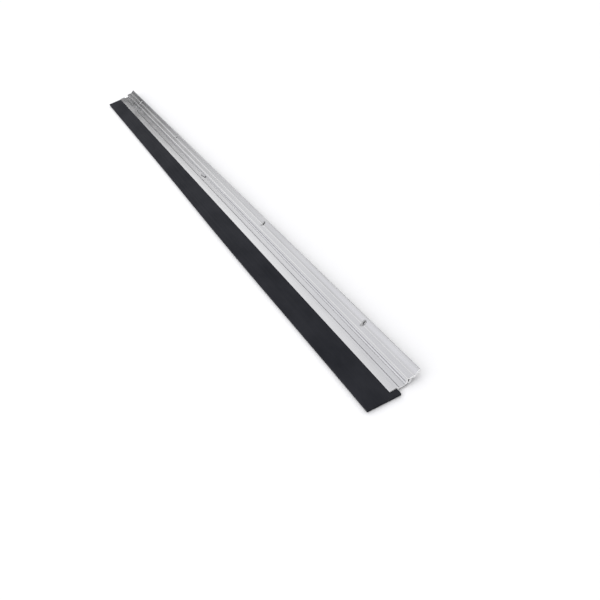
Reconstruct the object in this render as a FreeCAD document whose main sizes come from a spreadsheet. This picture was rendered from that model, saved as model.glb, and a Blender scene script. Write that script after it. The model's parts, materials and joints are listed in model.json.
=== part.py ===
"""Hinged, sprung door sweep: a fixing rail, a blade carrier, a rubber blade and a torsion wire.

The fixing rail screws to the bottom of a door.  Its knuckle is a socket that runs the whole
length, and the carrier's curl turns in it.  A torsion wire in the core of the curl holds the
carrier swung out from the door.  Everything is drawn about the hinge axis and then set down
with the carrier lying flat, so the rail leans up by its tilt.

Row frame: +X along the length, +Y towards the fixing rail, +Z up.  The origin is at the
bottom centre of the whole part.  Millimetres and degrees.
"""
import FreeCAD, Part
import math
import os
import Sketcher

V = FreeCAD.Vector
LEAST_SCREW_HOLE_VOLUME = 100.0

SIZES = {
    # lengths along X
    "length": 1000.0,
    "far_end": -503.0,
    "blade_overhang_inner": 6.0,
    "blade_overhang_outer": 3.2,
    # where the hinge axis lies, and how far the rail leans back from the carrier's plane
    "hinge_across": 16.434,
    "hinge_height": 4.75,
    "rail_tilt": 27.0,
    # knuckle: a socket on the rail round a hollow curl on the carrier
    "socket_radius": 2.95,
    "socket_bore_radius": 1.95,
    "curl_radius": 1.87,
    "core_radius": 0.75,
    "mouth_reach": 6.0,
    "anchor_hole_reach": 4.0,
    "mouth_low_angle": 231.0,
    "mouth_high_angle": 150.0,
    "curl_gap_low_angle": 40.0,
    "curl_gap_high_angle": 95.0,
    # fixing rail, measured from the hinge axis along (out) and square to (face) its leaf
    "leaf_out": 14.0,
    "leaf_face": -0.35,
    "rim_face": 0.25,
    "leaf_back": -2.95,
    "bevel": 1.5,
    "root_top_out": 1.5,
    "root_top": 2.5,
    "throat_out": 6.3,
    "root_low_out": 2.6,
    "root_low": -0.7,
    "notch_out": 4.7,
    "notch_roof": -1.7,
    "heel_out": 5.3,
    "screw_out": 8.2,
    "screw_hole_diameter": 4.0,
    "countersink_diameter": 6.0,
    "countersink_angle": 90.0,
    "countersink_rise": 1.2,
    "outer_screw_inset": 82.0,
    "inner_screw_inset": 317.0,
    # blade carrier, measured from the hinge axis
    "mouth_across": 19.4,
    "channel_floor_across": 12.0,
    "wall_across": 10.4,
    "step_top_across": 10.5,
    "step_foot_across": 9.3,
    "lip_top": 0.45,
    "channel_top": -0.65,
    "channel_bottom": -3.65,
    "jaw_bottom": -4.75,
    "web_top": -1.58,
    "web_bottom": -2.70,
    "neck_angle": 213.0,
    "neck_thickness": 1.1,
    "neck_root_radius": 1.5,
    "neck_bend_radius": 3.93,
    # rubber blade
    "blade_edge_across": 46.0,
    # torsion wire: its anchor leg, its straight run, and the leg that hooks through the web
    "wire_diameter": 1.0,
    "wire_bend_radius": 1.0,
    "wire_span": 60.0,
    "anchor_reach": 2.75,
    "anchor_hole_diameter": 1.3,
    "anchor_slot_width": 3.0,
    "anchor_slot_top": 1.25,
    "anchor_slot_back": 1.12,
    "leg_station": -12.0,
    "leg_exit_radius": 3.4,
    "leg_rise_station": -14.6,
    "leg_rise_across": 4.2,
    "leg_top": -1.06,
    "leg_slot_lead": 1.0,
    "leg_slot_width": 4.3,
    "leg_slot_end": 5.0,
    "hook_station": -26.0,
    "hook_across": 5.6,
    "hook_bottom": -3.25,
    "hook_length": 3.4,
    "hook_hole_diameter": 1.6,
}


def make_sheet(doc):
    """The driving dimensions, one aliased cell each."""
    sheet = doc.addObject("Spreadsheet::Sheet", "sizes")
    for row, (alias, value) in enumerate(SIZES.items(), start=1):
        sheet.set("A%d" % row, alias)
        sheet.set("B%d" % row, str(value))
        sheet.setAlias("B%d" % row, alias)
    doc.recompute()
    return sheet


doc = FreeCAD.newDocument("door_sweep")
sheet = make_sheet(doc)


def cell(alias):
    return float(sheet.get(alias))


def evaluated(formula):
    """Value of a formula over the sheet's aliases, as FreeCAD works it out."""
    return float(sheet.evalExpression(formula))


def bound(formula):
    """The same formula written for an object outside the sheet."""
    words = sorted(SIZES, key=len, reverse=True)
    out = ""
    at = 0
    while at < len(formula):
        word = next((w for w in words if formula.startswith(w, at)), None)
        if word and not (at and (formula[at - 1].isalnum() or formula[at - 1] == "_")):
            out += "<<sizes>>." + word
            at += len(word)
        else:
            out += formula[at]
            at += 1
    return out


def origin_plane(body, role):
    return next(f for f in body.Origin.OriginFeatures if f.Role == role)


def new_body(label, tilted):
    """A body drawn about the hinge axis, then placed on that axis in the row frame."""
    body = doc.addObject("PartDesign::Body", label)
    body.Label = label
    if tilted:
        angle = cell("rail_tilt")
    else:
        angle = 0.0
    body.Placement = FreeCAD.Placement(V(0, 0, 0), FreeCAD.Rotation(V(1, 0, 0), angle))
    body.setExpression("Placement.Base.y", bound("hinge_across"))
    body.setExpression("Placement.Base.z", bound("hinge_height"))
    if tilted:
        body.setExpression("Placement.Rotation.Angle", bound("rail_tilt"))
    return body


def new_sketch(body, name, role="YZ_Plane", offset="0"):
    sketch = body.newObject("Sketcher::SketchObject", name)
    sketch.AttachmentSupport = (origin_plane(body, role), [""])
    sketch.MapMode = "FlatFace"
    sketch.setExpression("AttachmentOffset.Base.z", bound(offset))
    return sketch


def pin_point(sketch, line, point, formulas):
    """Holds one end of a line at two formulas' distances from the sketch's origin."""
    for kind, formula in zip(("DistanceX", "DistanceY"), formulas):
        value = evaluated(formula)
        index = sketch.addConstraint(
            Sketcher.Constraint(kind, -1, 1, line, point, value))
        sketch.setExpression("Constraints[%d]" % index, bound(formula))


def closed_outline(sketch, corners):
    """A closed chain of lines; each corner is a pair of formulas over the sheet."""
    points = [V(evaluated(a), evaluated(b), 0) for a, b in corners]
    count = len(points)
    for i in range(count):
        sketch.addGeometry(Part.LineSegment(points[i], points[(i + 1) % count]), False)
    for i in range(count):
        sketch.addConstraint(Sketcher.Constraint("Coincident", i, 2, (i + 1) % count, 1))
    for i in range(count):
        pin_point(sketch, i, 1, corners[i])


def circle(sketch, radius, centre=("0", "0")):
    x, y = evaluated(centre[0]), evaluated(centre[1])
    index = sketch.addGeometry(Part.Circle(V(x, y, 0), V(0, 0, 1), evaluated(radius)), False)
    number = sketch.addConstraint(Sketcher.Constraint("Radius", index, evaluated(radius)))
    sketch.setExpression("Constraints[%d]" % number, bound(radius))
    pin_point(sketch, index, 3, centre)


def pad(body, sketch, name, length="length"):
    feature = body.newObject("PartDesign::Pad", name)
    feature.Profile = sketch
    feature.setExpression("Length", bound(length))
    doc.recompute()


def pocket(body, sketch, name, length, least, along_normal=True):
    """A pocket along or against the sketch's normal that must remove at least some volume."""
    doc.recompute()
    before = body.Shape.Volume
    feature = body.newObject("PartDesign::Pocket", name)
    feature.Profile = sketch
    feature.Reversed = along_normal
    feature.setExpression("Length", bound(length))
    doc.recompute()
    removed = before - body.Shape.Volume
    if removed < least:
        raise RuntimeError("%s removes only %.2f mm3" % (name, removed))


def on_circle(radius, angle):
    return ("%s * cos(%s * 1deg)" % (radius, angle), "%s * sin(%s * 1deg)" % (radius, angle))


def rectangle(left, right, low, high):
    return [(left, low), (right, low), (right, high), (left, high)]


def wedge(low, high):
    """A fan from the hinge axis that opens the knuckle between two angles."""
    middle = "(%s + %s) / 2" % (low, high)
    reach = "mouth_reach"
    return [("0", "0"), on_circle(reach, low), on_circle(reach, middle), on_circle(reach, high)]


def make_fixing_rail():
    """Leaf with a flat back and a raised rim; a thinner root joins it to the knuckle's socket."""
    body = new_body("fixing_rail", tilted=True)

    leaf = new_sketch(body, "leaf_outline", offset="far_end")
    closed_outline(leaf, [
        ("root_top_out", "root_top"),
        ("throat_out", "leaf_face"),
        ("screw_out", "leaf_face"),
        ("leaf_out", "rim_face"),
        ("leaf_out", "leaf_back + bevel"),
        ("leaf_out - bevel", "leaf_back"),
        ("heel_out", "leaf_back"),
        ("notch_out", "notch_roof"),
        ("root_low_out", "root_low"),
    ])
    pad(body, leaf, "leaf")

    knuckle = new_sketch(body, "socket_outline", offset="far_end")
    circle(knuckle, "socket_radius")
    pad(body, knuckle, "socket")

    bore = new_sketch(body, "bore_outline", offset="far_end")
    circle(bore, "socket_bore_radius")
    pocket(body, bore, "bore", "length", least=5000)

    mouth = new_sketch(body, "mouth_outline", offset="far_end")
    closed_outline(mouth, wedge("mouth_low_angle", "mouth_high_angle"))
    pocket(body, mouth, "mouth", "length", least=2000)

    anchor = new_sketch(body, "anchor_outline", "XY_Plane")
    circle(anchor, "anchor_hole_diameter / 2", ("leg_station - wire_span", "0"))
    pocket(body, anchor, "anchor_hole", "anchor_hole_reach", least=1, along_normal=False)

    screws = new_sketch(body, "screw_holes_outline", "XY_Plane", "leaf_face + countersink_rise")
    for inset in ("outer_screw_inset", "inner_screw_inset"):
        for station in ("far_end + " + inset, "far_end + length - " + inset):
            circle(screws, "screw_hole_diameter / 2", (station, "screw_out"))
    doc.recompute()
    before = body.Shape.Volume
    holes = body.newObject("PartDesign::Hole", "screw_holes")
    holes.Profile = screws
    holes.DepthType = "ThroughAll"
    holes.Threaded = False
    holes.setExpression("Diameter", bound("screw_hole_diameter"))
    holes.HoleCutType = "Countersink"
    holes.setExpression("HoleCutDiameter", bound(
        "countersink_diameter + 2 * countersink_rise * tan(countersink_angle / 2 * 1deg)"))
    holes.setExpression("HoleCutCountersinkAngle", bound("countersink_angle"))
    doc.recompute()
    removed = before - body.Shape.Volume
    if removed < LEAST_SCREW_HOLE_VOLUME:
        raise RuntimeError("the screw holes remove only %.2f mm3" % removed)
    return body


def make_blade_carrier():
    """Channel that grips the blade, a web, and a neck that ends in the hinge's curl."""
    body = new_body("blade_carrier", tilted=False)

    def neck(radius, side):
        along = on_circle(radius, "neck_angle")
        half = "%sneck_thickness / 2" % side
        return ("%s - %s * sin(neck_angle * 1deg)" % (along[0], half),
                "%s + %s * cos(neck_angle * 1deg)" % (along[1], half))

    clip = new_sketch(body, "carrier_outline", offset="far_end")
    closed_outline(clip, [
        neck("neck_root_radius", "-"),
        neck("neck_bend_radius", "-"),
        ("-step_foot_across", "web_top"),
        ("-step_top_across", "lip_top"),
        ("-mouth_across", "lip_top"),
        ("-mouth_across", "channel_top"),
        ("-channel_floor_across", "channel_top"),
        ("-channel_floor_across", "channel_bottom"),
        ("-mouth_across", "channel_bottom"),
        ("-mouth_across", "jaw_bottom"),
        ("-wall_across", "jaw_bottom"),
        ("-wall_across", "web_bottom"),
        neck("neck_bend_radius", ""),
        neck("neck_root_radius", ""),
    ])
    pad(body, clip, "clip")

    roll = new_sketch(body, "curl_outline", offset="far_end")
    circle(roll, "curl_radius")
    circle(roll, "core_radius")
    pad(body, roll, "curl")

    gap = new_sketch(body, "curl_gap_outline", offset="far_end")
    closed_outline(gap, wedge("curl_gap_low_angle", "curl_gap_high_angle"))
    pocket(body, gap, "curl_gap", "length", least=500)

    leg_slot = new_sketch(body, "leg_slot_outline",
                          offset="leg_station + leg_slot_lead - leg_slot_width")
    closed_outline(leg_slot, rectangle("-leg_slot_end", "0", "-mouth_reach", "mouth_reach"))
    pocket(body, leg_slot, "leg_slot", "leg_slot_width", least=20)

    anchor_slot = new_sketch(body, "anchor_slot_outline",
                             offset="leg_station - wire_span - anchor_slot_width / 2")
    closed_outline(anchor_slot, rectangle(
        "-anchor_slot_back", "mouth_reach", "-mouth_reach", "anchor_slot_top"))
    pocket(body, anchor_slot, "anchor_slot", "anchor_slot_width", least=5)

    hook = new_sketch(body, "hook_hole_outline", "XY_Plane")
    circle(hook, "hook_hole_diameter / 2", ("hook_station", "-hook_across"))
    pocket(body, hook, "hook_hole", "mouth_reach", least=1.5, along_normal=False)
    return body


def make_rubber_blade():
    """Flat rubber strip; its +X end is cut a little out of square, past the carrier."""
    body = new_body("rubber_blade", tilted=False)
    strip = new_sketch(body, "blade_outline", "XY_Plane", offset="channel_bottom")
    closed_outline(strip, [
        ("far_end", "-blade_edge_across"),
        ("far_end + length + blade_overhang_outer", "-blade_edge_across"),
        ("far_end + length + blade_overhang_inner", "-channel_floor_across"),
        ("far_end", "-channel_floor_across"),
    ])
    pad(body, strip, "blade", "channel_top - channel_bottom")
    return body


def rounded_path(points, radius):
    """Straight runs joined by tangent arcs of one radius."""
    edges = []
    start = points[0]
    for before, corner, after in zip(points, points[1:], points[2:]):
        back = (before - corner).normalize()
        ahead = (after - corner).normalize()
        half = back.getAngle(ahead) / 2
        setback = radius / math.tan(half)
        middle = (back + ahead).normalize()
        arc_start = corner + back * setback
        arc_end = corner + ahead * setback
        arc_middle = corner + middle * (radius / math.sin(half) - radius)
        edges.append(Part.LineSegment(start, arc_start).toShape())
        edges.append(Part.Arc(arc_start, arc_middle, arc_end).toShape())
        start = arc_end
    edges.append(Part.LineSegment(start, points[-1]).toShape())
    return Part.Wire(edges)


def make_return_spring():
    """Torsion wire in the curl's core: one leg seats in the socket, the other hooks the web."""
    leg_x = cell("leg_station")
    anchor_x = leg_x - cell("wire_span")
    hook_x = cell("hook_station")
    hook_y = -cell("hook_across")
    hook_z = cell("hook_bottom")
    lean = math.radians(cell("rail_tilt"))
    neck = math.radians(cell("neck_angle"))
    anchor = cell("anchor_reach")
    leg_exit = cell("leg_exit_radius")
    points = [
        V(anchor_x, anchor * math.sin(lean), -anchor * math.cos(lean)),
        V(anchor_x, 0, 0),
        V(leg_x, 0, 0),
        V(leg_x, leg_exit * math.cos(neck), leg_exit * math.sin(neck)),
        V(cell("leg_rise_station"), -cell("leg_rise_across"), cell("leg_top")),
        V(hook_x, hook_y, cell("leg_top")),
        V(hook_x, hook_y, hook_z),
        V(hook_x + cell("hook_length"), hook_y, hook_z),
    ]
    path = rounded_path(points, cell("wire_bend_radius"))
    profile = Part.Wire(Part.makeCircle(
        cell("wire_diameter") / 2, points[0], points[1] - points[0]))
    spring = doc.addObject("Part::Feature", "return_spring")
    spring.Label = "return_spring"
    spring.Shape = path.makePipeShell([profile], True, True)
    spring.Placement = FreeCAD.Placement(
        V(0, cell("hinge_across"), cell("hinge_height")), FreeCAD.Rotation())
    spring.setExpression("Placement.Base.y", bound("hinge_across"))
    spring.setExpression("Placement.Base.z", bound("hinge_height"))
    length_ratio = spring.Shape.Volume / (
        math.pi * cell("wire_diameter") ** 2 / 4 * path.Length)
    print("wire volume against its section times its length: %.4f" % length_ratio)
    return spring


sub_parts = [make_fixing_rail(), make_blade_carrier(), make_rubber_blade(), make_return_spring()]
doc.recompute()

for thing in doc.Objects:
    if any(word in thing.State for word in ("Invalid", "Error")):
        raise RuntimeError("%s failed: %s" % (thing.Name, thing.State))

os.makedirs("parts", exist_ok=True)
whole = FreeCAD.BoundBox()
for part in sub_parts:
    shape = part.Shape
    if shape.isNull() or not shape.isValid() or len(shape.Solids) != 1:
        raise RuntimeError("%s isn't one valid solid" % part.Label)
    shape.exportStep("parts/%s.step" % part.Label)
    whole.add(shape.BoundBox)
    print("%-14s volume %9.1f mm3" % (part.Label, shape.Volume))
print("whole part", whole)
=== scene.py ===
"""Looks of the hinged door sweep: two aluminium extrusions, a rubber blade and a torsion wire.

The three long pieces and the wire are rebuilt here with finer outlines than the frame's coarse
mesh, about the same hinge axis, and stand for its nodes.  Outlines are in millimetres about the
hinge axis; meshes are in metres.
"""
import json
import math

import bmesh
import bpy
from mathutils import Matrix, Vector, noise


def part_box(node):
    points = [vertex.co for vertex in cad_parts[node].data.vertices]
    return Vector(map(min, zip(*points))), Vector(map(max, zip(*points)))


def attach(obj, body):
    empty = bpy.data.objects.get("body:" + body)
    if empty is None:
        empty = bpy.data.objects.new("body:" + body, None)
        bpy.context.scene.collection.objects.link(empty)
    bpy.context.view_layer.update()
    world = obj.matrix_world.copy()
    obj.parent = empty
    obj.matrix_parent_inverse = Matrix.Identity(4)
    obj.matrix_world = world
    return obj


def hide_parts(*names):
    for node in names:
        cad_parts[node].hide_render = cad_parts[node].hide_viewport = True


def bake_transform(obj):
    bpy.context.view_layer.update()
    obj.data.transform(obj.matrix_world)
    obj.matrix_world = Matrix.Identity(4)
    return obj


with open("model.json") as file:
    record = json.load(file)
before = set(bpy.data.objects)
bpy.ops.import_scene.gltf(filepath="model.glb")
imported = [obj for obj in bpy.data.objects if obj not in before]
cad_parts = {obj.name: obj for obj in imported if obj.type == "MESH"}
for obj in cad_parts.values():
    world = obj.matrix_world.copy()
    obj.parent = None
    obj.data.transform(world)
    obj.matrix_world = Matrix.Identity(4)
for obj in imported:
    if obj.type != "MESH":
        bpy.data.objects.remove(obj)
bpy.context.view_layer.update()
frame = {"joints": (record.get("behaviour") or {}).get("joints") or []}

MM = 0.001
HINGE = Vector(frame["joints"][0]["pos_m"])
CARRIER_LOW, CARRIER_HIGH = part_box("blade_carrier")
FAR_X = CARRIER_LOW.x
NEAR_X = CARRIER_HIGH.x
RAIL_TILT = math.radians(27)
# faces that meet at less than this, in degrees, are shaded as one
SMOOTH_ANGLE = 32
# how far the cutters reach, past every wall
PAST = 6.0

# knuckle, with gaps and joins in degrees about the axis
SOCKET_R = 2.95
BORE_R = 1.95
CURL_R = 1.87
CORE_R = 0.75
MOUTH = (150, 231)
CURL_GAP = (40, 95)
NECK_ROOM = 6
LEAF_JOIN = 59
NOTCH_JOIN = 346
# rail, along and square to its leaf
LEAF_OUT = 14.0
LEAF_FACE = -0.35
RIM_FACE = 0.25
RIM_WIDTH = 1.6
HOLLOW_OUT = 8.5
THROAT_OUT = 6.3
FACE_EASE = 0.02
LEAF_BACK = -2.95
BACK_BEVEL = 1.5
HEEL_OUT = 5.3
NOTCH_OUT = 4.7
NOTCH_FACE = -1.7
SCREW_OUT = 8.2
SCREW_INSETS = (82, 317)
SCREW_HOLE_R = 2.0
COUNTERSINK_R = 3.0
# carrier
MOUTH_Y = -19.4
FLOOR_Y = -12.0
WALL_Y = -10.4
STEP_TOP_Y = -10.5
STEP_FOOT_Y = -9.3
LIP_TOP = 0.45
CHANNEL_TOP = -0.65
CHANNEL_BOTTOM = -3.65
JAW_BOTTOM = -4.75
WEB_TOP = -1.58
WEB_BOTTOM = -2.70
NECK_ANGLE = math.radians(213)
NECK_HALF = 0.55
NECK_BEND_R = 3.93
GROOVE_Y = -3.98
GROOVE_HALF = 0.25
GROOVE_DEPTH = 0.32
GROOVE_BRINK = 0.01
# wire, and the slots and the hole that it needs in the carrier; pairs are (from, to) or (x, y)
WIRE_R = 0.5
WIRE_BEND_R = 1.0
WIRE_GAP = 0.02
ANCHOR_X = -72.0
ANCHOR_REACH = 2.75
ANCHOR_SLOT_X = (-73.5, -70.5)
ANCHOR_SLOT_Y = -1.12
ANCHOR_SLOT_TOP = 1.25
LEG_X = -12.0
LEG_REACH = 3.4
LEG_SLOT_X = (-15.3, -11.0)
LEG_SLOT_Y = (-5.0, 0.0)
LANDING = (-14.6, -4.2)
HOOK_AT = (-26.0, -5.6)
HOOK_TIP_X = -22.6
HOOK_BOTTOM = -3.25
HOOK_HOLE_R = 0.8
# blade
BLADE_EDGE_Y = -46.0
OVERHANG_INNER = 6.0
OVERHANG_OUTER = 3.2
# material slots on the extrusions, after the mill finish; the drilled and countersunk slots take
# finishes darkened with painted shade
SAWN = 1
DRILLED_SHADED = 2
COUNTERSUNK_SHADED = 3


# ---------------------------------------------------------------- outlines

def arc(radius, start, end, step=5.0, centre=(0.0, 0.0)):
    """Points on an arc, angles in degrees, either way round."""
    count = max(2, int(abs(end - start) / step) + 1)
    points = []
    for i in range(count + 1):
        angle = math.radians(start + (end - start) * i / count)
        points.append((centre[0] + radius * math.cos(angle), centre[1] + radius * math.sin(angle)))
    return points


def cap(inner, outer, angle, side):
    """Half-round end of a curled wall, outer face first, bulging anticlockwise when side is 1."""
    middle = (inner + outer) / 2
    half = (outer - inner) / 2
    at = math.radians(angle)
    centre = (middle * math.cos(at), middle * math.sin(at))
    return arc(half, angle, angle + side * 180, step=15.0, centre=centre)


def cap_angle(inner, outer):
    """Degrees by which the half-round end of such a wall reaches past where it starts."""
    return math.degrees((outer - inner) / (outer + inner))


def rounded(corners, step=6.0):
    """Polygon corners (y, z, fillet radius), each fillet cut into short chords."""
    points = []
    count = len(corners)
    for i in range(count):
        here = Vector(corners[i][:2])
        radius = corners[i][2]
        if radius <= 0:
            points.append(tuple(here))
            continue
        back = (Vector(corners[i - 1][:2]) - here).normalized()
        ahead = (Vector(corners[(i + 1) % count][:2]) - here).normalized()
        half = back.angle(ahead) / 2
        reach = radius / math.tan(half)
        centre = here + (back + ahead).normalized() * radius / math.sin(half)
        first = here + back * reach - centre
        last = here + ahead * reach - centre
        turn = math.atan2(first.x * last.y - first.y * last.x, first.dot(last))
        pieces = max(2, int(abs(math.degrees(turn)) / step))
        for k in range(pieces + 1):
            a = turn * k / pieces
            points.append((centre.x + first.x * math.cos(a) - first.y * math.sin(a),
                           centre.y + first.x * math.sin(a) + first.y * math.cos(a)))
    return points


def tidied(points):
    """The same closed outline without points that repeat the one before."""
    nearest = 0.004
    return [p for i, p in enumerate(points) if math.dist(p, points[i - 1]) > nearest]


def corners_of(points):
    """The same points as corners without a fillet."""
    return [(y, z, 0.0) for y, z in points]


def rail_outline():
    """Anticlockwise outline of the fixing rail, along and square to its leaf."""
    back_round, bevel_round, rim_round, foot_round = 0.3, 0.4, 0.9, 1.2
    hollow_round, throat_round = 5.0, 2.0
    lip = cap_angle(BORE_R, SOCKET_R)
    low, high = MOUTH[1] + lip, MOUTH[0] - lip
    corners = corners_of(arc(SOCKET_R, low, NOTCH_JOIN))
    corners += [(NOTCH_OUT, NOTCH_FACE, back_round), (HEEL_OUT, LEAF_BACK, back_round)]
    corners += [(LEAF_OUT - BACK_BEVEL, LEAF_BACK, back_round)]
    corners += [(LEAF_OUT, LEAF_BACK + BACK_BEVEL, bevel_round), (LEAF_OUT, RIM_FACE, rim_round)]
    corners += [(LEAF_OUT - RIM_WIDTH, RIM_FACE - FACE_EASE, foot_round)]
    corners += [(HOLLOW_OUT, LEAF_FACE - FACE_EASE, hollow_round)]
    corners += [(THROAT_OUT, LEAF_FACE - FACE_EASE, throat_round)]
    corners += corners_of(arc(SOCKET_R, LEAF_JOIN, high))
    corners += corners_of(cap(BORE_R, SOCKET_R, high, 1))
    corners += corners_of(arc(BORE_R, high, low - 360))
    corners += corners_of(reversed(cap(BORE_R, SOCKET_R, low, -1)))
    return tidied(rounded(corners))


def neck_point(radius, side):
    """Point on the neck's lower face when side is 1, or on its upper face when side is -1."""
    cos, sin = math.cos(NECK_ANGLE), math.sin(NECK_ANGLE)
    return (radius * cos - side * NECK_HALF * sin, radius * sin + side * NECK_HALF * cos)


def carrier_outline():
    """Anticlockwise outline of the blade carrier about the hinge axis."""
    crease_round, brink_round, step_round, bend_round = 0.1, 0.04, 0.3, 0.9
    lip_round, mouth_round, floor_round, wall_round = 0.45, 0.2, 0.15, 0.35
    neck = math.degrees(NECK_ANGLE)
    spread = math.degrees(math.asin(NECK_HALF / CURL_R))
    end = cap_angle(CORE_R, CURL_R)
    high = CURL_GAP[1] + end
    low = CURL_GAP[0] - end
    upper_bend = neck_point(NECK_BEND_R, -1)
    lower_bend = neck_point(NECK_BEND_R, 1)
    corners = corners_of(arc(CURL_R, high, neck - spread - NECK_ROOM))
    brink = upper_bend[1] + GROOVE_BRINK
    corners += [(*upper_bend, crease_round), (GROOVE_Y + GROOVE_HALF, brink, brink_round)]
    corners += [(GROOVE_Y, brink - GROOVE_DEPTH, crease_round)]
    corners += [(GROOVE_Y - GROOVE_HALF, brink, brink_round)]
    corners += [(STEP_FOOT_Y, WEB_TOP, step_round), (STEP_TOP_Y, LIP_TOP, step_round)]
    corners += [(MOUTH_Y, LIP_TOP, lip_round), (MOUTH_Y, CHANNEL_TOP, mouth_round)]
    corners += [(FLOOR_Y, CHANNEL_TOP, floor_round), (FLOOR_Y, CHANNEL_BOTTOM, floor_round)]
    corners += [(MOUTH_Y, CHANNEL_BOTTOM, mouth_round), (MOUTH_Y, JAW_BOTTOM, lip_round)]
    corners += [(WALL_Y, JAW_BOTTOM, wall_round), (WALL_Y, WEB_BOTTOM, wall_round)]
    corners += [(*lower_bend, bend_round)]
    corners += corners_of(arc(CURL_R, neck + spread + NECK_ROOM, low + 360))
    corners += corners_of(cap(CORE_R, CURL_R, low, 1))
    corners += corners_of(arc(CORE_R, low + 360, high))
    corners += corners_of(reversed(cap(CORE_R, CURL_R, high, -1)))
    return tidied(rounded(corners))


# ---------------------------------------------------------------- meshes

def finish_mesh(name, bm, smooth_angle=SMOOTH_ANGLE):
    """Object of that mesh in the scene, smooth up to that angle between faces, in degrees."""
    mesh = bpy.data.meshes.new(name)
    bmesh.ops.recalc_face_normals(bm, faces=bm.faces)
    bm.to_mesh(mesh)
    bm.free()
    mesh.shade_smooth()
    mesh.set_sharp_from_angle(angle=math.radians(smooth_angle))
    piece = bpy.data.objects.new(name, mesh)
    bpy.context.scene.collection.objects.link(piece)
    return piece


def moved_in(points, amount):
    """The outline moved inwards by a small amount, for the broken edge of a saw cut."""
    moved = []
    count = len(points)
    for i in range(count):
        before, after = Vector(points[i - 1]), Vector(points[(i + 1) % count])
        along = (after - before).normalized()
        moved.append((points[i][0] - along.y * amount, points[i][1] + along.x * amount))
    return moved


def extrusion(name, outline, tilt):
    """The outline swept from the far to the near end, with broken edges at both saw cuts."""
    broken = 0.06
    trimmed = moved_in(outline, broken)
    spans = 80
    first, last = FAR_X + broken * MM, NEAR_X - broken * MM
    rings = [(FAR_X, trimmed)]
    rings += [(first + (last - first) * i / spans, outline) for i in range(spans + 1)]
    rings += [(NEAR_X, trimmed)]
    turn = Matrix.Rotation(tilt, 4, "X")
    bm = bmesh.new()
    loops = []
    for x, points in rings:
        loop = []
        for y, z in points:
            place = turn @ Vector((0, y * MM, z * MM))
            loop.append(bm.verts.new((x, HINGE.y + place.y, HINGE.z + place.z)))
        loops.append(loop)
    count = len(outline)
    for ring, following in zip(loops, loops[1:]):
        for i in range(count):
            j = (i + 1) % count
            bm.faces.new((ring[i], ring[j], following[j], following[i]))
    for face in (bm.faces.new(list(reversed(loops[0]))), bm.faces.new(loops[-1])):
        face.material_index = SAWN
    return finish_mesh(name, bm)


def lathe(name, rings, place, segments):
    """Solid of revolution about local Z from (radius, height) pairs in millimetres.

    The first band's faces are the wall of the hole that it cuts, and the others its countersink.
    """
    bm = bmesh.new()
    loops = []
    for radius, height in rings:
        loops.append([
            bm.verts.new(place @ Vector((
                radius * MM * math.cos(2 * math.pi * k / segments),
                radius * MM * math.sin(2 * math.pi * k / segments), height * MM)))
            for k in range(segments)])
    for first, second in zip(loops, loops[1:]):
        for k in range(segments):
            j = (k + 1) % segments
            face = bm.faces.new((first[k], first[j], second[j], second[k]))
            face.material_index = DRILLED_SHADED if first is loops[0] else COUNTERSUNK_SHADED
    bm.faces.new(list(reversed(loops[0])))
    bm.faces.new(loops[-1])
    return finish_mesh(name, bm)


def block(name, low, high):
    """Axis-aligned cutter between two corners in millimetres about the hinge axis."""
    bm = bmesh.new()
    bmesh.ops.create_cube(bm, size=1.0)
    for vert in bm.verts:
        for axis in range(3):
            vert.co[axis] = (low[axis] + (vert.co[axis] + 0.5) * (high[axis] - low[axis])) * MM
            vert.co[axis] += HINGE[axis]
    return finish_mesh(name, bm)


def cut(piece, cutters, finishes):
    """Takes the cutters out of the piece for good, then removes them."""
    for material in finishes:
        piece.data.materials.append(material)
    for cutter in cutters:
        for material in finishes:
            cutter.data.materials.append(material)
        modifier = piece.modifiers.new(cutter.name, "BOOLEAN")
        modifier.object = cutter
        modifier.operation = "DIFFERENCE"
        modifier.solver = "EXACT"
    bpy.context.view_layer.update()
    graph = bpy.context.evaluated_depsgraph_get()
    mesh = bpy.data.meshes.new_from_object(piece.evaluated_get(graph))
    piece.modifiers.clear()
    piece.data = mesh
    mark_cuts(mesh)
    for cutter in cutters:
        bpy.data.objects.remove(cutter)


def mark_cuts(mesh):
    """Sharp edges where the extruded faces, which all run along X, meet a cut."""
    mesh.shade_smooth()
    mesh.set_sharp_from_angle(angle=math.radians(SMOOTH_ANGLE))
    bm = bmesh.new()
    bm.from_mesh(mesh)
    lean = 0.01
    for edge in bm.edges:
        kinds = {abs(face.normal.x) > lean for face in edge.link_faces}
        if len(kinds) == 2:
            edge.smooth = False
    bm.to_mesh(mesh)
    bm.free()


def make_rail(finishes):
    """The fixing rail, with its four countersunk screw holes."""
    rail = extrusion("rail_extrusion", rail_outline(), RAIL_TILT)
    turn = Matrix.Rotation(RAIL_TILT, 4, "X")
    on_leaf = Matrix.Translation(Vector((0, SCREW_OUT * MM, LEAF_FACE * MM)))
    sink = COUNTERSINK_R - SCREW_HOLE_R
    above = 2.0
    rings = [(SCREW_HOLE_R, -PAST), (SCREW_HOLE_R, -sink)]
    rings += [(COUNTERSINK_R, 0.0), (COUNTERSINK_R + above, above)]
    stations = [FAR_X + distance * MM for distance in SCREW_INSETS]
    stations += [NEAR_X - distance * MM for distance in SCREW_INSETS]
    cutters = []
    for i, x in enumerate(stations):
        place = Matrix.Translation(Vector((x, HINGE.y, HINGE.z))) @ turn @ on_leaf
        cutters.append(lathe("screw_cutter_%d" % i, rings, place, segments=48))
    cut(rail, cutters, finishes)
    return rail


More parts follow.
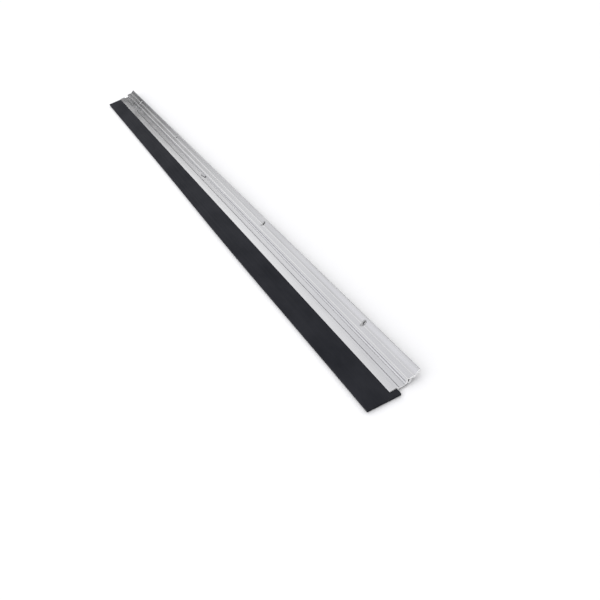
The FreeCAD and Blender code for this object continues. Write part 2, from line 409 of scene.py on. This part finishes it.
def make_carrier(finishes):
    """The blade carrier, with the slots for the wire's two legs and the hole for its hook."""
    carrier = extrusion("carrier_extrusion", carrier_outline(), 0.0)
    leg_low, leg_high = zip(LEG_SLOT_X, LEG_SLOT_Y, (-PAST, PAST))
    anchor_low, anchor_high = zip(ANCHOR_SLOT_X, (ANCHOR_SLOT_Y, PAST), (-PAST, ANCHOR_SLOT_TOP))
    place = Matrix.Translation(HINGE + Vector((*HOOK_AT, 0.0)) * MM)
    hook_rings = [(HOOK_HOLE_R, -PAST), (HOOK_HOLE_R, PAST)]
    cutters = [
        block("leg_slot_cutter", leg_low, leg_high),
        block("anchor_slot_cutter", anchor_low, anchor_high),
        lathe("hook_cutter", hook_rings, place, segments=32),
    ]
    cut(carrier, cutters, finishes)
    return carrier


def make_blade():
    """Flat strip with softened edges; its free edge wanders and its near end is cut on the skew."""
    half_round = 0.25
    # millimetres to a whole width, near enough for rounding the edges
    edge_scale = 35
    edge_parts = (0.0, 0.004, 0.012)
    margin = 0.03
    spans = 22
    stations = 160
    across = list(edge_parts)
    across += [margin + (1.0 - 2 * margin) * i / spans for i in range(spans + 1)]
    across += [1.0 - part for part in reversed(edge_parts)]
    top, bottom = CHANNEL_TOP, CHANNEL_BOTTOM
    length = NEAR_X - FAR_X
    bm = bmesh.new()
    grid = {}
    for i in range(stations + 1):
        run = i / stations
        for k, part in enumerate(across):
            y = FLOOR_Y + part * (BLADE_EDGE_Y - FLOOR_Y)
            free = max(0.0, (MOUTH_Y - y) / (MOUTH_Y - BLADE_EDGE_Y))
            skew = OVERHANG_INNER + part * (OVERHANG_OUTER - OVERHANG_INNER)
            end_x = NEAR_X + skew * MM
            x = FAR_X + run * (end_x - FAR_X)
            bow = edge_bow(1.0 - run)
            y += free * bow
            lift = free * free * blade_wave(x, length)
            soften = min(part * edge_scale, (1 - part) * edge_scale, half_round) / half_round
            drop = half_round * (1 - math.sqrt(max(0.0, 1 - (1 - soften) ** 2)))
            for side, z in enumerate((top - drop + lift, bottom + drop + lift)):
                grid[i, k, side] = bm.verts.new((x, HINGE.y + y * MM, HINGE.z + z * MM))
    last = len(across) - 1
    for i in range(stations):
        for k in range(last):
            bm.faces.new((grid[i, k, 0], grid[i + 1, k, 0], grid[i + 1, k + 1, 0], grid[i, k + 1, 0]))
            bm.faces.new((grid[i, k, 1], grid[i, k + 1, 1], grid[i + 1, k + 1, 1], grid[i + 1, k, 1]))
        for k in (0, last):
            bm.faces.new((grid[i, k, 0], grid[i, k, 1], grid[i + 1, k, 1], grid[i + 1, k, 0]))
    for i in (0, stations):
        for k in range(last):
            bm.faces.new((grid[i, k, 0], grid[i, k + 1, 0], grid[i, k + 1, 1], grid[i, k, 1]))
    return finish_mesh("blade_strip", bm, smooth_angle=50)


def edge_bow(from_near):
    """How far in from its widest the free edge lies, in millimetres; from_near runs from 0 to 1."""
    deepest = 1.6
    widest_at = 0.32
    spread = 0.2
    bulge = math.exp(-((from_near - widest_at) / spread) ** 2)
    return deepest * (1 - bulge)


def blade_wave(x, length):
    """Gentle rise and fall of the free edge, in millimetres."""
    swing = 0.25
    droop = 0.1
    cycles = 7.0
    start = (0.3, 1.7)
    return swing * noise.noise(Vector((x / length * cycles, *start))) - droop


def wire_route():
    """The torsion wire's line about the hinge axis, anchor leg first, in millimetres."""
    into_rail = Vector((0.0, math.sin(RAIL_TILT), -math.cos(RAIL_TILT)))
    down_neck = Vector((0.0, math.cos(NECK_ANGLE), math.sin(NECK_ANGLE)))
    anchor = Vector((ANCHOR_X, 0.0, 0.0))
    leg = Vector((LEG_X, 0.0, 0.0))
    on_web = WEB_TOP + WIRE_R + WIRE_GAP
    return [
        anchor + ANCHOR_REACH * into_rail,
        anchor,
        leg,
        leg + LEG_REACH * down_neck,
        Vector((*LANDING, on_web)),
        Vector((*HOOK_AT, on_web)),
        Vector((*HOOK_AT, HOOK_BOTTOM)),
        Vector((HOOK_TIP_X, HOOK_AT[1], HOOK_BOTTOM)),
    ]


def bent(points, radius, pieces=8):
    """Straight runs joined by tangent arcs, as a chain of points."""
    line = [points[0]]
    for before, corner, after in zip(points, points[1:], points[2:]):
        back = (before - corner).normalized()
        ahead = (after - corner).normalized()
        half = back.angle(ahead) / 2
        reach = radius / math.tan(half)
        centre = corner + (back + ahead).normalized() * radius / math.sin(half)
        start = corner + back * reach - centre
        stop = corner + ahead * reach - centre
        for k in range(pieces + 1):
            line.append(centre + start.slerp(stop, k / pieces))
    line.append(points[-1])
    return line


def make_spring():
    """The torsion wire, a round tube along its bent route, a little thinner at its two ends."""
    sides = 16
    longest_step = 2.0
    tip = 0.8
    line = bent(wire_route(), WIRE_BEND_R)
    run = []
    for a, b in zip(line, line[1:]):
        steps = max(1, int((b - a).length / longest_step))
        run += [a.lerp(b, k / steps) for k in range(steps)]
    run.append(line[-1])
    bm = bmesh.new()
    loops = []
    side = None
    for i, point in enumerate(run):
        ahead = (run[min(i + 1, len(run) - 1)] - run[max(i - 1, 0)]).normalized()
        if side is None:
            side = ahead.orthogonal().normalized()
        side = (side - ahead * side.dot(ahead)).normalized()
        other = ahead.cross(side)
        size = WIRE_R * (tip if i in (0, len(run) - 1) else 1.0)
        loops.append([
            bm.verts.new(HINGE + (point + size * (
                side * math.cos(2 * math.pi * k / sides) + other * math.sin(2 * math.pi * k / sides)
            )) * MM) for k in range(sides)])
    for first, second in zip(loops, loops[1:]):
        for k in range(sides):
            j = (k + 1) % sides
            bm.faces.new((first[k], first[j], second[j], second[k]))
    bm.faces.new(list(reversed(loops[0])))
    bm.faces.new(loops[-1])
    return finish_mesh("spring_wire_form", bm)


# ---------------------------------------------------------------- materials

def new_material(name):
    """A node material, with its nodes, its links and its shader."""
    material = bpy.data.materials.new(name)
    material.use_nodes = True
    nodes = material.node_tree.nodes
    return material, nodes, material.node_tree.links, nodes["Principled BSDF"]


def stretched_noise(nodes, links, scale, detail=4.0, rough=0.55):
    """Noise in metres, scaled along X, Y and Z apart."""
    place = nodes.new("ShaderNodeTexCoord")
    mapping = nodes.new("ShaderNodeMapping")
    mapping.inputs["Scale"].default_value = scale
    texture = nodes.new("ShaderNodeTexNoise")
    texture.inputs["Scale"].default_value = 1.0
    texture.inputs["Detail"].default_value = detail
    texture.inputs["Roughness"].default_value = rough
    links.new(place.outputs["Object"], mapping.inputs["Vector"])
    links.new(mapping.outputs["Vector"], texture.inputs["Vector"])
    return texture.outputs["Fac"]


def ramp(nodes, links, value, stops):
    """The value turned into a colour, by (position, colour) stops."""
    node = nodes.new("ShaderNodeValToRGB")
    node.color_ramp.elements[0].position = stops[0][0]
    node.color_ramp.elements[0].color = (*stops[0][1], 1)
    node.color_ramp.elements[1].position = stops[-1][0]
    node.color_ramp.elements[1].color = (*stops[-1][1], 1)
    for position, colour in stops[1:-1]:
        node.color_ramp.elements.new(position).color = (*colour, 1)
    links.new(value, node.inputs["Fac"])
    return node.outputs["Color"]


def grey(level):
    """A neutral colour."""
    return (level, level, level)


def product(nodes, links, first, second):
    """Two colours multiplied."""
    node = nodes.new("ShaderNodeMix")
    node.data_type = "RGBA"
    node.blend_type = "MULTIPLY"
    node.inputs["Factor"].default_value = 1.0
    links.new(first, node.inputs["A"])
    links.new(second, node.inputs["B"])
    return node.outputs["Result"]


def arithmetic(nodes, links, operation, *terms):
    """The result of a maths node, each of whose terms is a socket or a float."""
    node = nodes.new("ShaderNodeMath")
    node.operation = operation
    for term, socket in zip(terms, node.inputs):
        if isinstance(term, float):
            socket.default_value = term
        else:
            links.new(term, socket)
    return node.outputs["Value"]


def bump(nodes, links, height, distance, strength, before=None):
    """A bumped normal, on top of the one before it where there is one."""
    node = nodes.new("ShaderNodeBump")
    node.inputs["Distance"].default_value = distance
    node.inputs["Strength"].default_value = strength
    links.new(height, node.inputs["Height"])
    if before is not None:
        links.new(before, node.inputs["Normal"])
    return node.outputs["Normal"]


def mill_aluminium(name):
    """Extruded, unpolished aluminium: die lines along X, soft blotches, a faint waviness."""
    material, nodes, links, shader = new_material(name)
    die_lines = stretched_noise(nodes, links, (3.0, 1500.0, 1500.0), detail=6.0, rough=0.65)
    blotches = stretched_noise(nodes, links, (22.0, 60.0, 60.0), detail=3.0)
    waves = stretched_noise(nodes, links, (14.0, 45.0, 45.0), detail=1.0)
    lined = ramp(nodes, links, die_lines, [(0.3, (0.525, 0.525, 0.53)), (0.7, (0.59, 0.59, 0.60))])
    clouded = ramp(nodes, links, blotches, [(0.35, grey(0.94)), (0.65, grey(1.0))])
    links.new(product(nodes, links, lined, clouded), shader.inputs["Base Color"])
    shader.inputs["Metallic"].default_value = 1.0
    roughness = ramp(nodes, links, blotches, [(0.3, grey(0.20)), (0.7, grey(0.27))])
    links.new(roughness, shader.inputs["Roughness"])
    wavy = bump(nodes, links, waves, distance=0.0002, strength=0.2)
    lines = bump(nodes, links, die_lines, distance=0.00002, strength=0.35, before=wavy)
    links.new(lines, shader.inputs["Normal"])
    return material


def sawn_aluminium(name):
    """A saw-cut end: bright, with short scratches that run across the section."""
    material, nodes, links, shader = new_material(name)
    scratches = stretched_noise(nodes, links, (400.0, 500.0, 6000.0), detail=3.0, rough=0.6)
    links.new(ramp(nodes, links, scratches, [(0.3, grey(0.78)), (0.7, grey(0.93))]),
              shader.inputs["Base Color"])
    shader.inputs["Metallic"].default_value = 0.6
    shader.inputs["Roughness"].default_value = 0.6
    cut_marks = bump(nodes, links, scratches, distance=0.00004, strength=0.5)
    links.new(cut_marks, shader.inputs["Normal"])
    return material


def drilled_aluminium_painted_shade(name, dark, light):
    """The wall of a drilled hole or of its countersink: fine rings from the tool, over a base colour
    between dark and light that is darkened as painted shade.
    """
    material, nodes, links, shader = new_material(name)
    rings = stretched_noise(nodes, links, (300.0, 900.0, 3000.0), detail=3.0, rough=0.6)
    links.new(ramp(nodes, links, rings, [(0.3, grey(dark)), (0.7, grey(light))]),
              shader.inputs["Base Color"])
    shader.inputs["Metallic"].default_value = 0.7
    shader.inputs["Roughness"].default_value = 0.55
    tool_marks = bump(nodes, links, rings, distance=0.00003, strength=0.5)
    links.new(tool_marks, shader.inputs["Normal"])
    return material


def black_rubber(name):
    """Matte extruded rubber with a fine grain, faint run lines and a trace of bloom."""
    material, nodes, links, shader = new_material(name)
    grain = stretched_noise(nodes, links, (2500.0, 2500.0, 2500.0), detail=3.0, rough=0.6)
    run_lines = stretched_noise(nodes, links, (5.0, 500.0, 500.0), detail=4.0, rough=0.6)
    bloom = stretched_noise(nodes, links, (18.0, 40.0, 40.0), detail=4.0, rough=0.6)
    colour = ramp(nodes, links, bloom, [(0.3, (0.010, 0.011, 0.015)), (0.7, (0.020, 0.021, 0.026))])
    links.new(colour, shader.inputs["Base Color"])
    shader.inputs["Specular IOR Level"].default_value = 0.13
    links.new(ramp(nodes, links, run_lines, [(0.3, grey(0.62)), (0.7, grey(0.75))]),
              shader.inputs["Roughness"])
    lines = bump(nodes, links, run_lines, distance=0.00006, strength=0.4)
    grainy = bump(nodes, links, grain, distance=0.00008, strength=0.5, before=lines)
    links.new(grainy, shader.inputs["Normal"])
    return material


def spring_steel(name):
    """Drawn spring wire, dull grey with draw marks."""
    material, nodes, links, shader = new_material(name)
    marks = stretched_noise(nodes, links, (60.0, 2000.0, 2000.0), detail=4.0, rough=0.6)
    links.new(ramp(nodes, links, marks, [(0.3, (0.30, 0.30, 0.31)), (0.7, (0.46, 0.46, 0.47))]),
              shader.inputs["Base Color"])
    shader.inputs["Metallic"].default_value = 1.0
    links.new(ramp(nodes, links, marks, [(0.3, grey(0.34)), (0.7, grey(0.48))]),
              shader.inputs["Roughness"])
    drawn = bump(nodes, links, marks, distance=0.00002, strength=0.5)
    links.new(drawn, shader.inputs["Normal"])
    return material


def white_floor(name):
    """Plain pale floor without any shine."""
    material, nodes, links, shader = new_material(name)
    shader.inputs["Base Color"].default_value = (0.97, 0.97, 0.97, 1)
    shader.inputs["Roughness"].default_value = 1.0
    shader.inputs["Specular IOR Level"].default_value = 0.0
    return material


# ---------------------------------------------------------------- the object

# the bore walls are painted nearly black, painted shade for the dark inside of the holes; the
# countersinks keep the tool-cut cone's tone but are painted a little darker than the mill finish,
# painted shade that dims their reflection
extrusion_finishes = [mill_aluminium("mill_aluminium"), sawn_aluminium("sawn_aluminium"),
                      drilled_aluminium_painted_shade("drilled_aluminium_painted_shade", 0.06, 0.13),
                      drilled_aluminium_painted_shade("countersunk_aluminium_painted_shade", 0.42, 0.52)]
rail = make_rail(extrusion_finishes)
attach(rail, "rail")
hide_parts("fixing_rail")

carrier = make_carrier(extrusion_finishes)
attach(carrier, "flap")
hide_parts("blade_carrier")

blade = make_blade()
blade.data.materials.append(black_rubber("black_rubber"))
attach(blade, "flap")
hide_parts("rubber_blade")

spring = make_spring()
spring.data.materials.append(spring_steel("spring_steel"))
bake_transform(spring)
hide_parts("return_spring")


# ---------------------------------------------------------------- stage, light and camera

def make_floor():
    """A flat square that reaches well past the strip on every side."""
    half = 12.0
    mesh = bpy.data.meshes.new("floor")
    mesh.from_pydata([(-half, -half, 0), (half, -half, 0), (half, half, 0), (-half, half, 0)],
                     [], [(0, 1, 2, 3)])
    mesh.materials.append(white_floor("white_floor"))
    floor = bpy.data.objects.new("floor", mesh)
    bpy.context.scene.collection.objects.link(floor)


def make_world():
    """Soft dome, bright in a band where Y is near 0 and again far towards -Y, dimmer elsewhere.

    Below about 18 degrees of elevation it is dark, except on the -Y side.
    """
    world = bpy.data.worlds.new("studio")
    bpy.context.scene.world = world
    world.use_nodes = True
    nodes = world.node_tree.nodes
    links = world.node_tree.links
    background = nodes["Background"]
    place = nodes.new("ShaderNodeTexCoord")
    split = nodes.new("ShaderNodeSeparateXYZ")
    links.new(place.outputs["Generated"], split.inputs["Vector"])
    leaned = arithmetic(nodes, links, "MULTIPLY_ADD", split.outputs["Y"], -0.20, split.outputs["Z"])
    lift = nodes.new("ShaderNodeMapRange")
    lift.inputs["From Min"].default_value = -0.28
    lift.inputs["From Max"].default_value = -0.50
    lift.inputs["To Min"].default_value = 0.0
    lift.inputs["To Max"].default_value = 0.35
    links.new(split.outputs["Y"], lift.inputs["Value"])
    height = arithmetic(nodes, links, "ADD", leaned, lift.outputs["Result"])
    # by height: dark low down, bright from about 20 degrees up
    shade = ramp(nodes, links, height, [
        (0.0, grey(0.0)), (0.305, grey(0.0)), (0.36, grey(0.95)), (0.48, grey(1.0)),
        (0.65, grey(0.90)), (1.0, grey(0.88))])
    across = arithmetic(nodes, links, "MULTIPLY_ADD", split.outputs["Y"], 0.5, 0.5)
    # by Y, from -1 at 0 to +1 at 1
    side = ramp(nodes, links, across, [
        (0.27, (0.90, 0.90, 0.93)), (0.32, (0.69, 0.69, 0.70)), (0.385, grey(0.67)),
        (0.46, grey(1.06)), (0.565, grey(1.07)), (0.614, (0.85, 0.85, 0.86)),
        (0.67, (0.74, 0.74, 0.765)), (1.0, (0.78, 0.78, 0.795))])
    links.new(product(nodes, links, shade, side), background.inputs["Color"])
    background.inputs["Strength"].default_value = 1.55


def make_camera():
    """Camera above the near end, looking down along the strip."""
    data = bpy.data.cameras.new("camera")
    data.sensor_width = 36.0
    data.lens = 36.0
    data.clip_start = 0.01
    data.clip_end = 60.0
    camera = bpy.data.objects.new("camera", data)
    camera.location = (0.7987, -0.1367, 0.3960)
    camera.rotation_euler = (math.radians(49.32), math.radians(13.98), math.radians(62.53))
    bpy.context.scene.collection.objects.link(camera)
    bpy.context.scene.camera = camera


make_floor()
make_world()
make_camera()
bpy.context.scene.view_settings.view_transform = "Standard"
